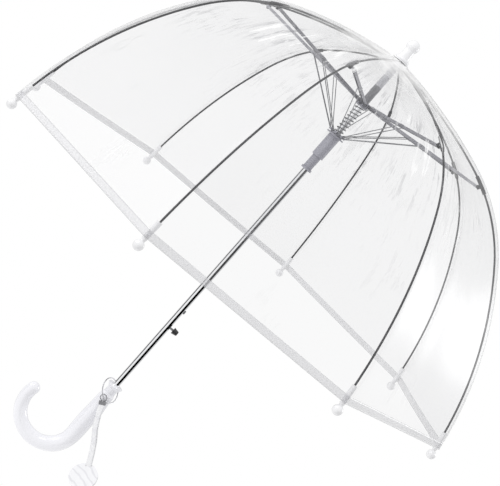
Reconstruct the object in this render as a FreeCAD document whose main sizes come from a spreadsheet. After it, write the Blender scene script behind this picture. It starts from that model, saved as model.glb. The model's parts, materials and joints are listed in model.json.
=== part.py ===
"""Clear dome stick umbrella, in millimetres.

The shaft stands on the Z axis with the ferrule at the top, and the crook of the handle turns towards +X.
The origin is on the shaft's axis, in the middle of the straight part of the grip.  Eight sets of limbs
stand around the shaft.  Each set is made in the XZ plane, with X as the radius, and turned to its place.
"""
import FreeCAD, Part
import math
import os
import re
import Sketcher
from types import SimpleNamespace

os.makedirs("parts", exist_ok=True)
doc = FreeCAD.newDocument("StickUmbrella")
sheet = doc.addObject("Spreadsheet::Sheet", "Dims")

DIMENSIONS = {
    # shaft
    "shaft_radius": 4.0,
    "shaft_wall": 0.5,
    "shaft_foot": -22.0,
    "shaft_top": 601.0,
    "slide_gap": 0.1,
    # limbs: eight ribs, the first one at this azimuth
    "limb_count": 8,
    "first_azimuth": 32.9,
    # rib outline: three arcs, each given by its radius and the downward slopes of its ends
    "rib_wire": 1.2,
    "eye_radius": 1.35,
    "eye_width": 2.6,
    "rib_pivot_radius": 6.5,
    "rib_pivot_height": 584.0,
    "crown_slope": 7.0,
    "shoulder_slope": 20.7,
    "knee_slope": 51.5,
    "hem_slope": 80.3,
    "crown_bend": 635.0,
    "shoulder_bend": 224.0,
    "side_bend": 458.0,
    # where the arm meets the rib, and where the upper rib ends
    "clip_slope": 26.7,
    "split_slope": 29.9,
    "split_gap": 1.6,
    "clip_radius": 2.2,
    "clip_start": 23.5,
    "clip_drop": 4.0,
    "lug_width": 3.4,
    "lug_length": 5.0,
    # arms from the hub to the ribs
    "arm_lateral": 4.4,
    "arm_width": 3.8,
    "arm_depth": 3.4,
    "arm_wall": 0.6,
    "hub_height": 520.7,
    "hub_pivot_radius": 6.6,
    "wire_reach": 82.0,
    "arm_clip_length": 6.0,
    "arm_clip_width": 4.3,
    "rivet_radius": 1.5,
    "rivet_head": 0.5,
    # hub
    "hub_radius": 8.6,
    "hub_half_depth": 3.5,
    "hub_floor": 1.5,
    "hub_slot_width": 4.4,
    "hub_slot_start": 4.75,
    "neck_radius": 5.0,
    "neck_length": 24.0,
    # runner
    "runner_height": 472.4,
    "wire_pivot_radius": 10.5,
    "flange_radius": 12.5,
    "flange_slot_start": 9.3,
    "flange_slot_width": 6.2,
    "flange_above": 1.4,
    "flange_below": 1.4,
    "ring_gap": 1.6,
    "ring_depth": 1.8,
    "barrel_radius": 8.0,
    "barrel_length": 37.4,
    "sleeve_radius": 6.0,
    "sleeve_length": 21.3,
    "foot_radius": 7.4,
    "foot_depth": 3.0,
    "window_depth": 7.0,
    "window_width": 3.6,
    # wires from the runner to the arms
    "wire_radius": 0.55,
    "wire_spread_low": 2.2,
    "wire_spread_high": 2.9,
    # main spring
    "coil_radius": 5.9,
    "coil_wire": 0.6,
    "coil_turns": 8.5,
    # top of the shaft
    "stop_radius": 4.9,
    "stop_length": 28.7,
    "notch_radius": 9.0,
    "notch_depth": 7.0,
    "notch_roof": 1.2,
    "notch_slot_start": 4.9,
    "notch_slot_width": 3.2,
    "washer_height": 588.8,
    "washer_radius": 11.5,
    "washer_depth": 1.0,
    "ferrule_flange": 10.0,
    "ferrule_neck": 7.2,
    "ferrule_waist": 6.6,
    "ferrule_ball": 8.4,
    "ball_height": 611.6,
    # canopy film
    "film_gap": 3.7,
    "film_depth": 0.6,
    "hem_depth": 0.7,
    "hem_width": 11.0,
    # rib tips
    "tip_ball": 5.9,
    "tip_neck": 2.4,
    "tip_holder": 3.0,
    "tip_length": 24.0,
    "tip_taper": 1.5,
    "tip_inset": 0.12,
    "tip_reach": 9.5,
    # button and catch
    "button_height": 152.0,
    "button_inner": 8.4,
    "button_outer": 15.8,
    "button_wide": 4.4,
    "button_narrow": 3.0,
    "stem_radius": 1.5,
    "leaf_depth": 0.8,
    "leaf_width": 3.0,
    "leaf_back": 2.6,
    "tooth_low": 176.5,
    "tooth_high": 181.0,
    "tooth_reach": 5.6,
    # grip and collar
    "collar_top": 50.5,
    "collar_flange": 10.2,
    "collar_waist": 7.3,
    "collar_foot": 8.9,
    "collar_flange_depth": 2.2,
    "seam_height": 33.0,
    "flare_height": 16.0,
    "belly_top": -4.0,
    "belly_foot": -20.0,
    "grip_mouth": 9.0,
    "grip_flare": 10.3,
    "grip_belly": 11.2,
    "hook_thick": 10.8,
    "hook_thin": 8.1,
    "hook_bend": 39.0,
    "hook_start": -33.0,
    "hook_turn": 196.0,
    # wrist strap
    "loop_bend": 16.0,
    "loop_wire": 0.7,
    "bail_bend": 4.1,
    "bail_wire": 0.5,
    "clamp_width": 9.0,
    "clamp_depth": 3.0,
    "clamp_length": 5.0,
    "clamp_forward": 0.8,
    "ribbon_width": 7.6,
    "ribbon_depth": 1.6,
    "disc_radius": 18.4,
    "disc_depth": 3.0,
    "disc_grasp": 4.0,
}
for row, (alias, value) in enumerate(DIMENSIONS.items(), 1):
    sheet.set(f"A{row}", alias.replace("_", " "))
    sheet.set(f"B{row}", str(value))
    sheet.setAlias(f"B{row}", alias)
doc.recompute()
d = SimpleNamespace(**{alias: float(getattr(sheet, alias)) for alias in DIMENSIONS})

V = FreeCAD.Vector
UP = V(0, 0, 1)
nodes = {}


# ---- helpers -------------------------------------------------------------------------------------
def expression(text):
    """The same formula with every dimension's name pointing at its cell."""
    return re.sub(r"[a-z_]+[a-z]", lambda m: "Dims." + m[0] if m[0] in DIMENSIONS else m[0], text)


def at(x=0.0, y=0.0, z=0.0, rotation=None):
    return FreeCAD.Placement(V(x, y, z), rotation or FreeCAD.Rotation())


def axes(x_axis, y_axis, z_axis):
    return FreeCAD.Rotation(x_axis, y_axis, z_axis, "ZXY")


def primitive(kind, name, place, **sizes):
    """A Part primitive whose sizes are formulas on the sheet."""
    made = doc.addObject("Part::" + kind, name)
    for size, formula in sizes.items():
        made.setExpression(size, expression(str(formula)))
    made.Placement = place
    return made


def cut(name, base, tools):
    """base with each tool taken away."""
    tool = tools[0]
    if len(tools) > 1:
        tool = doc.addObject("Part::MultiFuse", name + "_tools")
        tool.Shapes = tools
    made = doc.addObject("Part::Cut", name)
    made.Base = base
    made.Tool = tool
    return made


def fuse(name, pieces):
    made = doc.addObject("Part::MultiFuse", name)
    made.Shapes = pieces
    return made


def node(name, made):
    """Name a finished sub-part; its file gets the same name."""
    made.Label = name
    nodes[name] = made
    return made


def turned(name, outline):
    """A PartDesign revolution about Z.  outline: (radius formula, height formula) corners, in order."""
    body = doc.addObject("PartDesign::Body", name)
    sketch = body.newObject("Sketcher::SketchObject", name + "_sketch")
    plane = next(f for f in body.Origin.OriginFeatures if f.Role == "XZ_Plane")
    sketch.AttachmentSupport = (plane, [""])
    sketch.MapMode = "FlatFace"
    count = len(outline)
    for i in range(count):
        sketch.addGeometry(Part.LineSegment(V(i + 1, i, 0), V(i + 2, i + 1, 0)), False)
    for i in range(count):
        sketch.addConstraint(Sketcher.Constraint("Coincident", i, 2, (i + 1) % count, 1))
    for i, (radius, height) in enumerate(outline):
        for kind, formula in (("DistanceX", radius), ("DistanceY", height)):
            index = sketch.addConstraint(Sketcher.Constraint(kind, -1, 1, i, 1, 1.0 + i))
            sketch.setExpression(f"Constraints[{index}]", expression(formula))
    doc.recompute()
    turn = body.newObject("PartDesign::Revolution", name + "_turn")
    turn.Profile = sketch
    turn.ReferenceAxis = (sketch, ["V_Axis"])
    turn.Angle = 360
    return body


# ---- geometry of the ribs ------------------------------------------------------------------------
def slope_direction(slope):
    """Outward normal of the rib where it slopes down by this many degrees."""
    angle = math.radians(slope)
    return V(math.sin(angle), 0, math.cos(angle))


def along(slope):
    """The way that the rib runs, outward and down."""
    angle = math.radians(slope)
    return V(math.cos(angle), 0, -math.sin(angle))


RIB_START = V(d.rib_pivot_radius, 0, d.rib_pivot_height)
CROWN_CENTRE = RIB_START - slope_direction(d.crown_slope) * d.crown_bend
SHOULDER = CROWN_CENTRE + slope_direction(d.shoulder_slope) * d.crown_bend
SHOULDER_CENTRE = SHOULDER - slope_direction(d.shoulder_slope) * d.shoulder_bend
KNEE = SHOULDER_CENTRE + slope_direction(d.knee_slope) * d.shoulder_bend
SIDE_CENTRE = KNEE - slope_direction(d.knee_slope) * d.side_bend
RIB_END = SIDE_CENTRE + slope_direction(d.hem_slope) * d.side_bend
CLIP = SHOULDER_CENTRE + slope_direction(d.clip_slope) * d.shoulder_bend
ARM_JOINT = CLIP - slope_direction(d.clip_slope) * d.clip_drop
SPLIT = SHOULDER_CENTRE + slope_direction(d.split_slope) * d.shoulder_bend
HUB_PIVOT = V(d.hub_pivot_radius, 0, d.hub_height)
ARM_LINE = ARM_JOINT - HUB_PIVOT
WIRE_JOINT = HUB_PIVOT + ARM_LINE * (d.wire_reach / ARM_LINE.Length)
WIRE_PIVOT = V(d.wire_pivot_radius, 0, d.runner_height)


def around(index):
    """The placement that turns limb number index to its azimuth."""
    azimuth = d.first_azimuth + index * 360.0 / d.limb_count
    return FreeCAD.Placement(V(0, 0, 0), FreeCAD.Rotation(UP, azimuth))


def bend(name, turn, centre, radius, thickness, start, sweep, extra=0.0):
    """A round bar along one arc of the rib: its start is a slope, and its sweep a formula in degrees."""
    first = start + extra
    rotation = axes(slope_direction(first), along(first), V(0, 1, 0))
    place = turn.multiply(at(centre.x, centre.y, centre.z, rotation))
    return primitive("Torus", name, place, Radius1=radius, Radius2=thickness, Angle3=sweep)


def ball(name, turn, point, radius):
    return primitive("Sphere", name, turn.multiply(at(point.x, point.y, point.z)), Radius=radius)


def crossbar(name, turn, point, lateral, radius, length):
    """A round bar across the limb's plane, from the side offset lateral, towards +Y."""
    rotation = axes(V(1, 0, 0), V(0, 0, -1), V(0, 1, 0))
    place = turn.multiply(at(point.x, lateral, point.z, rotation))
    return primitive("Cylinder", name, place, Radius=radius, Height=length)


# ---- shaft, handle and top -----------------------------------------------------------------------
def make_shaft():
    outer = primitive("Cylinder", "shaft_outer", at(z=d.shaft_foot), Radius="shaft_radius",
                      Height="shaft_top - shaft_foot")
    bore = primitive("Cylinder", "shaft_bore", at(z=d.shaft_foot - 1), Radius="shaft_radius - shaft_wall",
                     Height="shaft_top - shaft_foot + 2")
    inward = axes(V(0, 0, 1), V(0, -1, 0), V(1, 0, 0))
    stem_hole = primitive("Cylinder", "stem_hole", at(-2 * d.shaft_radius, 0, d.button_height, inward),
                          Radius="stem_radius + 0.2", Height="2 * shaft_radius")
    tooth_hole = primitive("Box", "tooth_hole",
                           at(-2 * d.shaft_radius, -d.leaf_width / 2 - 0.2, d.tooth_low - 0.5),
                           Length="2 * shaft_radius", Width="leaf_width + 0.4",
                           Height="tooth_high - tooth_low + 1")
    node("shaft_tube", cut("shaft_tube", outer, [bore, stem_hole, tooth_hole]))


def make_grip():
    """The crook: a loft through circles down the straight grip and around the hook, and a round tip."""
    sections = []
    straight = ((d.seam_height, "grip_mouth"), (d.flare_height, "grip_flare"),
                (d.belly_top, "grip_belly"), (d.belly_foot, "grip_belly"))
    for index, (height, radius) in enumerate(straight):
        sections.append(primitive("Circle", f"grip_section_{index}", at(z=height), Radius=radius))
    steps = 7
    for index in range(steps + 1):
        turn = d.hook_turn * index / steps
        angle = math.radians(turn)
        centre = V(d.hook_bend * (1 - math.cos(angle)), 0, d.hook_start - d.hook_bend * math.sin(angle))
        across = V(math.cos(angle), 0, math.sin(angle))
        normal = V(math.sin(angle), 0, -math.cos(angle))
        place = at(centre.x, centre.y, centre.z, axes(across, normal.cross(across), normal))
        radius = f"hook_thin + (hook_thick - hook_thin) * (1 - {index} / {steps})"
        sections.append(primitive("Circle", f"hook_section_{index}", place, Radius=radius))
    crook = doc.addObject("Part::Loft", "crook")
    crook.Sections = sections
    crook.Solid = True
    crook.Ruled = False
    tip = primitive("Sphere", "hook_tip", at(centre.x, centre.y, centre.z), Radius="hook_thin")
    whole = fuse("crook_and_tip", [crook, tip])
    bore = primitive("Cylinder", "grip_bore", at(z=d.shaft_foot), Radius="shaft_radius",
                     Height="seam_height - shaft_foot + 1")
    node("grip", cut("grip", whole, [bore]))


def make_collar():
    rim = "collar_top"
    lip = "collar_top - collar_flange_depth"
    node("grip_collar", turned("grip_collar", [
        ("shaft_radius", "seam_height"),
        ("collar_foot", "seam_height"),
        ("collar_foot", "seam_height + 1.5"),
        ("collar_waist", "seam_height + 5"),
        ("collar_waist", lip + " - 3"),
        ("collar_flange - 0.8", lip),
        ("collar_flange", lip + " + 0.8"),
        ("collar_flange", rim),
        ("shaft_radius", rim),
    ]))


def make_ferrule():
    """The end cap: flange, waist and ball in one turned piece, bored for the end of the shaft."""
    base = "washer_height + washer_depth"
    stem = turned("ferrule_stem", [
        ("shaft_radius", base),
        ("ferrule_flange - 1", base),
        ("ferrule_flange", base + " + 1"),
        ("ferrule_flange", base + " + 2.4"),
        ("ferrule_neck + 0.6", base + " + 4.4"),
        ("ferrule_neck", base + " + 8"),
        ("ferrule_waist", "ball_height - 6"),
        ("ferrule_waist", "ball_height"),
        ("0.01", "ball_height"),
        ("0.01", "shaft_top"),
        ("shaft_radius", "shaft_top"),
    ])
    knob = primitive("Sphere", "ferrule_knob", at(z=d.ball_height), Radius="ferrule_ball")
    room = primitive("Cylinder", "ferrule_room", at(z=d.washer_height), Radius="shaft_radius",
                     Height="shaft_top - washer_height")
    node("ferrule_cap", cut("ferrule_cap", fuse("ferrule_blank", [stem, knob]), [room]))
    disc = primitive("Cylinder", "washer_disc", at(z=d.washer_height), Radius="washer_radius",
                     Height="washer_depth")
    hole = primitive("Cylinder", "washer_hole", at(z=d.washer_height - 1), Radius="shaft_radius",
                     Height="washer_depth + 2")
    node("canopy_washer", cut("canopy_washer", disc, [hole]))


def make_notch():
    """The slotted ring that holds the upper ends of the ribs, and the sleeve that stops the hub."""
    low = d.rib_pivot_height - d.notch_depth
    blank = primitive("Cylinder", "notch_blank", at(z=low), Radius="notch_radius",
                      Height="notch_depth + rib_wire + 0.4 + notch_roof")
    tools = [primitive("Cylinder", "notch_bore", at(z=low - 1), Radius="shaft_radius",
                       Height="2 * notch_depth + notch_roof + 4")]
    for index in range(int(d.limb_count)):
        place = around(index).multiply(at(d.notch_slot_start, -d.notch_slot_width / 2, low - 1))
        tools.append(primitive("Box", f"notch_slot_{index}", place, Length="notch_radius",
                               Width="notch_slot_width", Height="notch_depth + rib_wire + 1.4"))
    node("top_notch", cut("top_notch", blank, tools))
    sleeve = primitive("Cylinder", "stop_outer", at(z=low - d.stop_length), Radius="stop_radius",
                       Height="stop_length")
    bore = primitive("Cylinder", "stop_bore", at(z=low - d.stop_length - 1), Radius="shaft_radius",
                     Height="stop_length + 2")
    node("stop_sleeve", cut("stop_sleeve", sleeve, [bore]))


# ---- sliding parts -------------------------------------------------------------------------------
def make_hub():
    low = d.hub_height - d.hub_half_depth
    disc = primitive("Cylinder", "hub_disc", at(z=low - d.hub_floor), Radius="hub_radius",
                     Height="2 * hub_half_depth + hub_floor")
    tools = [primitive("Cylinder", "hub_bore", at(z=low - d.hub_floor - 1), Radius="shaft_radius + slide_gap",
                       Height="2 * hub_half_depth + hub_floor + 2")]
    for index in range(int(d.limb_count)):
        place = around(index).multiply(at(d.hub_slot_start, d.arm_lateral - d.hub_slot_width / 2, low))
        tools.append(primitive("Box", f"hub_slot_{index}", place, Length="hub_radius",
                               Width="hub_slot_width", Height="2 * hub_half_depth + 1"))
    node("hub", cut("hub", disc, tools))
    neck = primitive("Cylinder", "neck_outer", at(z=d.hub_height + d.hub_half_depth), Radius="neck_radius",
                     Height="neck_length")
    bore = primitive("Cylinder", "neck_bore", at(z=d.hub_height), Radius="shaft_radius + slide_gap",
                     Height="neck_length + 10")
    node("hub_neck", cut("hub_neck", neck, [bore]))


def make_runner():
    """Toothed ring, plain ring and barrel in one piece, and the lower sleeve that the catch holds."""
    top = d.runner_height + d.flange_above
    toothed = primitive("Cylinder", "runner_toothed", at(z=d.runner_height - d.flange_below),
                        Radius="flange_radius", Height="flange_above + flange_below")
    core_foot = d.runner_height - d.flange_below - d.ring_gap
    core = primitive("Cylinder", "runner_core", at(z=core_foot), Radius="flange_slot_start - 0.3",
                     Height="ring_gap + flange_below")
    ring = primitive("Cylinder", "runner_ring", at(z=core_foot - d.ring_depth), Radius="flange_radius",
                     Height="ring_depth")
    barrel_foot = d.runner_height - d.barrel_length
    barrel = primitive("Cylinder", "runner_barrel", at(z=barrel_foot), Radius="barrel_radius",
                       Height="barrel_length - flange_below - ring_gap")
    tools = [primitive("Cylinder", "runner_bore", at(z=barrel_foot - 1), Radius="shaft_radius + slide_gap",
                       Height="barrel_length + 10")]
    for index in range(int(d.limb_count)):
        place = around(index).multiply(at(d.flange_slot_start, d.arm_lateral - d.flange_slot_width / 2,
                                          d.runner_height - d.flange_below - 0.5))
        tools.append(primitive("Box", f"runner_slot_{index}", place, Length="flange_radius",
                               Width="flange_slot_width", Height="flange_above + flange_below + 1"))
    node("runner", cut("runner", fuse("runner_blank", [toothed, core, ring, barrel]), tools))
    foot = barrel_foot - d.sleeve_length
    sleeve = primitive("Cylinder", "sleeve_outer", at(z=foot), Radius="sleeve_radius", Height="sleeve_length")
    rim = primitive("Cylinder", "sleeve_rim", at(z=foot), Radius="foot_radius", Height="foot_depth")
    bore = primitive("Cylinder", "sleeve_bore", at(z=foot - 1), Radius="shaft_radius + slide_gap",
                     Height="sleeve_length + 2")
    window = primitive("Box", "sleeve_window",
                       at(-2 * d.sleeve_radius, -d.window_width / 2, foot + d.foot_depth + 0.8),
                       Length="2 * sleeve_radius", Width="window_width", Height="window_depth")
    node("runner_sleeve", cut("runner_sleeve", fuse("sleeve_blank", [sleeve, rim]), [bore, window]))
    return top


def make_spring(foot):
    """Half turns of round wire, tilted one way and the other, which run on into each other as a coil."""
    low = foot + d.coil_wire + 0.2
    high = d.hub_height - d.hub_half_depth - d.hub_floor - d.coil_wire - 0.2
    halves = int(2 * d.coil_turns)
    rise = (high - low) / halves
    tilt = math.asin(rise / 2 / d.coil_radius)
    pieces = []
    for number in range(halves):
        side = 1 if number % 2 == 0 else -1
        start = V(side * math.cos(tilt), 0, -math.sin(tilt))
        sideways = V(0, side, 0)
        place = at(z=low + (number + 0.5) * rise, rotation=axes(start, sideways, start.cross(sideways)))
        pieces.append(primitive("Torus", f"coil_{number}", place, Radius1="coil_radius",
                                Radius2="coil_wire", Angle3=180))
    node("main_spring", fuse("main_spring", pieces))


# ---- limbs ---------------------------------------------------------------------------------------
def make_rib(index):
    """Upper rib with its crimped clip, lower rib and tip."""
    turn = around(index)
    eye = crossbar(f"rib_eye_{index}", turn, RIB_START, -d.eye_width / 2, "eye_radius", "eye_width")
    crown = bend(f"rib_crown_{index}", turn, CROWN_CENTRE, "crown_bend", "rib_wire", d.crown_slope,
                 "shoulder_slope - crown_slope")
    shoulder = bend(f"rib_shoulder_{index}", turn, SHOULDER_CENTRE, "shoulder_bend", "rib_wire",
                    d.shoulder_slope, "split_slope - shoulder_slope - split_gap / shoulder_bend * 180 / pi")
    wire = fuse(f"rib_upper_wire_{index}", [eye, crown, shoulder])
    sleeve = bend(f"clip_sleeve_{index}", turn, SHOULDER_CENTRE, "shoulder_bend", "clip_radius",
                  d.clip_start, "split_slope - clip_start - split_gap / shoulder_bend * 180 / pi")
    lug_place = at(CLIP.x, -d.lug_width / 2, CLIP.z,
                   axes(along(d.clip_slope), V(0, 1, 0), slope_direction(d.clip_slope)))
    lug_place = lug_place.multiply(at(-d.lug_length / 2, 0, -d.clip_drop - 2))
    lug = primitive("Box", f"clip_lug_{index}", turn.multiply(lug_place), Length="lug_length",
                    Width="lug_width", Height="clip_drop + 2")
    bore = bend(f"clip_bore_{index}", turn, SHOULDER_CENTRE, "shoulder_bend", "rib_wire",
                d.clip_start, "split_slope - clip_start", -0.3)
    clip = cut(f"rib_clip_{index}", fuse(f"clip_blank_{index}", [sleeve, lug]), [bore])
    upper = doc.addObject("Part::Compound", f"rib_upper_{index}")
    upper.Links = [wire, clip]
    node(f"rib_upper_{index + 1}", upper)

    knuckle = crossbar(f"rib_knuckle_{index}", turn, SPLIT, -d.eye_width / 2, "eye_radius", "eye_width")
    knee = bend(f"rib_knee_{index}", turn, SHOULDER_CENTRE, "shoulder_bend", "rib_wire",
                d.split_slope, "knee_slope - split_slope")
    side = bend(f"rib_side_{index}", turn, SIDE_CENTRE, "side_bend", "rib_wire",
                d.knee_slope, "hem_slope - knee_slope")
    node(f"rib_lower_{index + 1}", fuse(f"rib_lower_{index}", [knuckle, knee, side]))

    down = along(d.hem_slope)
    aim = axes(slope_direction(d.hem_slope), V(0, 1, 0).cross(slope_direction(d.hem_slope)) * -1, down)
    back = RIB_END - down * (d.tip_length - 3)
    sag = slope_direction(d.hem_slope) * -d.tip_inset
    holder = primitive("Cylinder", f"tip_tube_{index}", turn.multiply(at(*(back + sag), aim)),
                       Radius="tip_holder", Height="tip_length - tip_taper")
    shoulder_end = RIB_END + down * d.tip_taper + sag
    taper = primitive("Cone", f"tip_taper_{index}", turn.multiply(at(*shoulder_end, aim)),
                      Radius1="tip_holder", Radius2="tip_neck", Height="tip_taper")
    neck = primitive("Cylinder", f"tip_neck_{index}", turn.multiply(at(*shoulder_end, aim)),
                     Radius="tip_neck", Height="tip_reach - tip_taper")
    bead = ball(f"tip_bead_{index}", turn, RIB_END + down * d.tip_reach + sag, "tip_ball")
    bore = bend(f"tip_bore_{index}", turn, SIDE_CENTRE, "side_bend", "rib_wire + 0.05",
                d.hem_slope - 4, "4")
    solid = fuse(f"tip_blank_{index}", [holder, taper, neck, bead])
    node(f"rib_tip_{index + 1}", cut(f"rib_tip_{index}", solid, [bore]))


def make_arm(index):
    """A pressed channel with round ends, a small saddle for the wire, and a rivet at the rib's end."""
    turn = around(index)
    run = V(ARM_LINE).normalize()
    upward = V(-run.z, 0, run.x)
    aim = axes(run, V(0, 1, 0), upward)
    side = d.arm_lateral - d.arm_width / 2

    def on_arm(distance, lateral, height):
        place = at(HUB_PIVOT.x, lateral, HUB_PIVOT.z, aim).multiply(at(distance, 0, height))
        return turn.multiply(place)

    half = d.arm_depth / 2
    bar = primitive("Box", f"arm_bar_{index}", on_arm(0, side, -half), Width="arm_width", Height="arm_depth",
                    Length=ARM_LINE.Length)
    inner = crossbar(f"arm_root_{index}", turn, HUB_PIVOT, side, "arm_depth / 2", "arm_width")
    outer = crossbar(f"arm_end_{index}", turn, ARM_JOINT, side, "arm_depth / 2", "arm_width")
    head = crossbar(f"arm_rivet_{index}", turn, ARM_JOINT, side, "rivet_radius", "arm_width + rivet_head")
    saddle = primitive("Box", f"arm_saddle_{index}",
                       on_arm(d.wire_reach - d.arm_clip_length / 2, d.arm_lateral - d.arm_clip_width / 2,
                              -half - 0.4),
                       Length="arm_clip_length", Width="arm_clip_width", Height="arm_depth + 0.8")
    hollows = []
    solid_end = 5.0
    ends = ((solid_end, d.wire_reach - d.arm_clip_length),
            (d.wire_reach + d.arm_clip_length, ARM_LINE.Length - solid_end))
    for number, (first, last) in enumerate(ends):
        hollows.append(primitive("Box", f"arm_hollow_{index}_{number}",
                                 on_arm(first, side + d.arm_wall, -half - 1),
                                 Length=last - first, Width="arm_width - 2 * arm_wall",
                                 Height="arm_depth + 1 - arm_wall"))
    blank = fuse(f"arm_blank_{index}", [bar, inner, outer, head, saddle])
    node(f"arm_{index + 1}", cut(f"arm_{index}", blank, hollows))


def make_wire(index):
    """A hairpin of thin wire: a crossbar in the runner and two legs that straddle the arm."""
    turn = around(index)
    pieces = []
    low, high = d.wire_spread_low, d.wire_spread_high
    pieces.append(crossbar(f"wire_bar_{index}", turn, WIRE_PIVOT, d.arm_lateral - low,
                           "wire_radius", "2 * wire_spread_low"))
    for number, side in enumerate((-1, 1)):
        foot = V(WIRE_PIVOT.x, d.arm_lateral + side * low, WIRE_PIVOT.z)
        tip = V(WIRE_JOINT.x, d.arm_lateral + side * high, WIRE_JOINT.z)
        line = tip - foot
        aim = FreeCAD.Rotation(UP, line)
        pieces.append(primitive("Cylinder", f"wire_leg_{index}_{number}", turn.multiply(at(*foot, aim)),
                                Radius="wire_radius", Height=line.Length))
        for end, point in (("foot", foot), ("tip", tip)):
            pieces.append(ball(f"wire_{end}_{index}_{number}", turn, point, "wire_radius"))
    node(f"wire_{index + 1}", fuse(f"wire_{index}", pieces))


# ---- canopy --------------------------------------------------------------------------------------
def film_outline(turn, inner, outer, first, last):
    """One closed section of the film in a rib's plane, between two offsets from the rib's centre line."""
    arcs = ((CROWN_CENTRE, d.crown_bend, d.crown_slope, d.shoulder_slope),
            (SHOULDER_CENTRE, d.shoulder_bend, d.shoulder_slope, d.knee_slope),
            (SIDE_CENTRE, d.side_bend, d.knee_slope, d.hem_slope))
    rails = []
    for offset in (inner, outer):
        rail = []
        for centre, radius, start, end in arcs:
            start, end = max(start, first), min(end, last)
            if end - start < 0.01:
                continue
            points = [centre + slope_direction(s) * (radius + offset)
                      for s in (start, (start + end) / 2, end)]
            rail.append(Part.Arc(*points).toShape())
        rails.append(rail)
    foot = Part.LineSegment(rails[0][-1].lastVertex().Point, rails[1][-1].lastVertex().Point).toShape()
    head = Part.LineSegment(rails[1][0].firstVertex().Point, rails[0][0].firstVertex().Point).toShape()
    wire = Part.Wire(Part.__sortEdges__(rails[0] + [foot] + rails[1] + [head]))
    wire.Placement = turn
    return wire


def make_gores(name, inner, outer, first, last):
    """Eight gores, each ruled between the sections over two neighbouring ribs."""
    gores = []
    for index in range(int(d.limb_count)):
        sections = [film_outline(around(k), inner, outer, first, last) for k in (index, index + 1)]
        gores.append(Part.makeLoft(sections, True, True))
    made = doc.addObject("Part::Feature", name)
    made.Shape = Part.makeCompound(gores)
    node(name, made)


def make_canopy():
    film_top = d.film_gap + d.film_depth
    make_gores("canopy", d.film_gap, film_top, d.crown_slope, d.hem_slope)
    band = math.degrees(d.hem_width / d.side_bend)
    make_gores("hem_band", film_top, film_top + d.hem_depth, d.hem_slope - band, d.hem_slope)


# ---- button --------------------------------------------------------------------------------------
def make_button():
    outward = axes(V(0, 0, 1), V(0, 1, 0), V(-1, 0, 0))
    cap = primitive("Cone", "button_taper", at(-d.button_inner, 0, d.button_height, outward),
                    Radius1="button_wide", Radius2="button_narrow", Height="button_outer - button_inner")
    rounded = doc.addObject("Part::Fillet", "button_round")
    doc.recompute()
    rounded.Base = cap
    rim = [i + 1 for i, e in enumerate(cap.Shape.Edges)
           if e.BoundBox.XMax < -d.button_outer + 0.1 and e.Length > 1]
    rounded.Edges = [(i, 1.0, 1.0) for i in rim]
    node("button_cap", rounded)
    stem = primitive("Cylinder", "leaf_stem", at(d.leaf_depth - d.leaf_back, 0, d.button_height, outward),
                     Radius="stem_radius", Height="button_inner + leaf_depth - leaf_back")
    leaf = primitive("Box", "leaf_blade", at(-d.leaf_back, -d.leaf_width / 2, d.button_height - 4),
                     Length="leaf_depth", Width="leaf_width", Height="tooth_high - button_height + 4")
    tooth = primitive("Wedge", "leaf_tooth", at(-d.tooth_reach, -d.leaf_width / 2, d.tooth_low),
                      Xmin=0, Xmax="tooth_reach - 2.2", Ymin=0, Ymax="leaf_width",
                      Zmin=0, Zmax="tooth_high - tooth_low", X2min=0, X2max="tooth_reach - 2.2",
                      Z2min=0, Z2max="tooth_high - tooth_low")
    node("catch_leaf", fuse("catch_leaf", [stem, leaf, tooth]))


# ---- wrist strap ---------------------------------------------------------------------------------
STRAP_HINGE = V(1.3, 14.1, 32.0)
STRAP_RUN = V(-0.508, 0.089, -0.856).normalize()
RIBBON_ROUTE = (
    STRAP_HINGE + V(-2.5, 1.25, -4.2),
    STRAP_HINGE + V(-12.2, 4.7, -28.3),
    STRAP_HINGE + V(-30.7, 5.4, -52.3),
    STRAP_HINGE + V(-43.2, 8.2, -77.8),
)


def rounded_route(points):
    """Straight runs joined by arcs as large as the runs allow."""
    edges, start = [], points[0]
    for before, corner, after in zip(points, points[1:], points[2:]):
        coming, going = (corner - before), (after - corner)
        reach = 0.45 * min(coming.Length, going.Length)
        into, out = V(coming).normalize(), V(going).normalize()
        half_turn = into.getAngle(out) / 2
        radius = reach / math.tan(half_turn)
        first, last = corner - into * reach, corner + out * reach
        centre_way = V(out - into).normalize()
        middle = corner + centre_way * (radius / math.cos(half_turn) - radius)
        edges.append(Part.LineSegment(start, first).toShape())
        edges.append(Part.Arc(first, middle, last).toShape())
        start = last
    edges.append(Part.LineSegment(start, points[-1]).toShape())
    return Part.Wire(edges)


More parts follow.
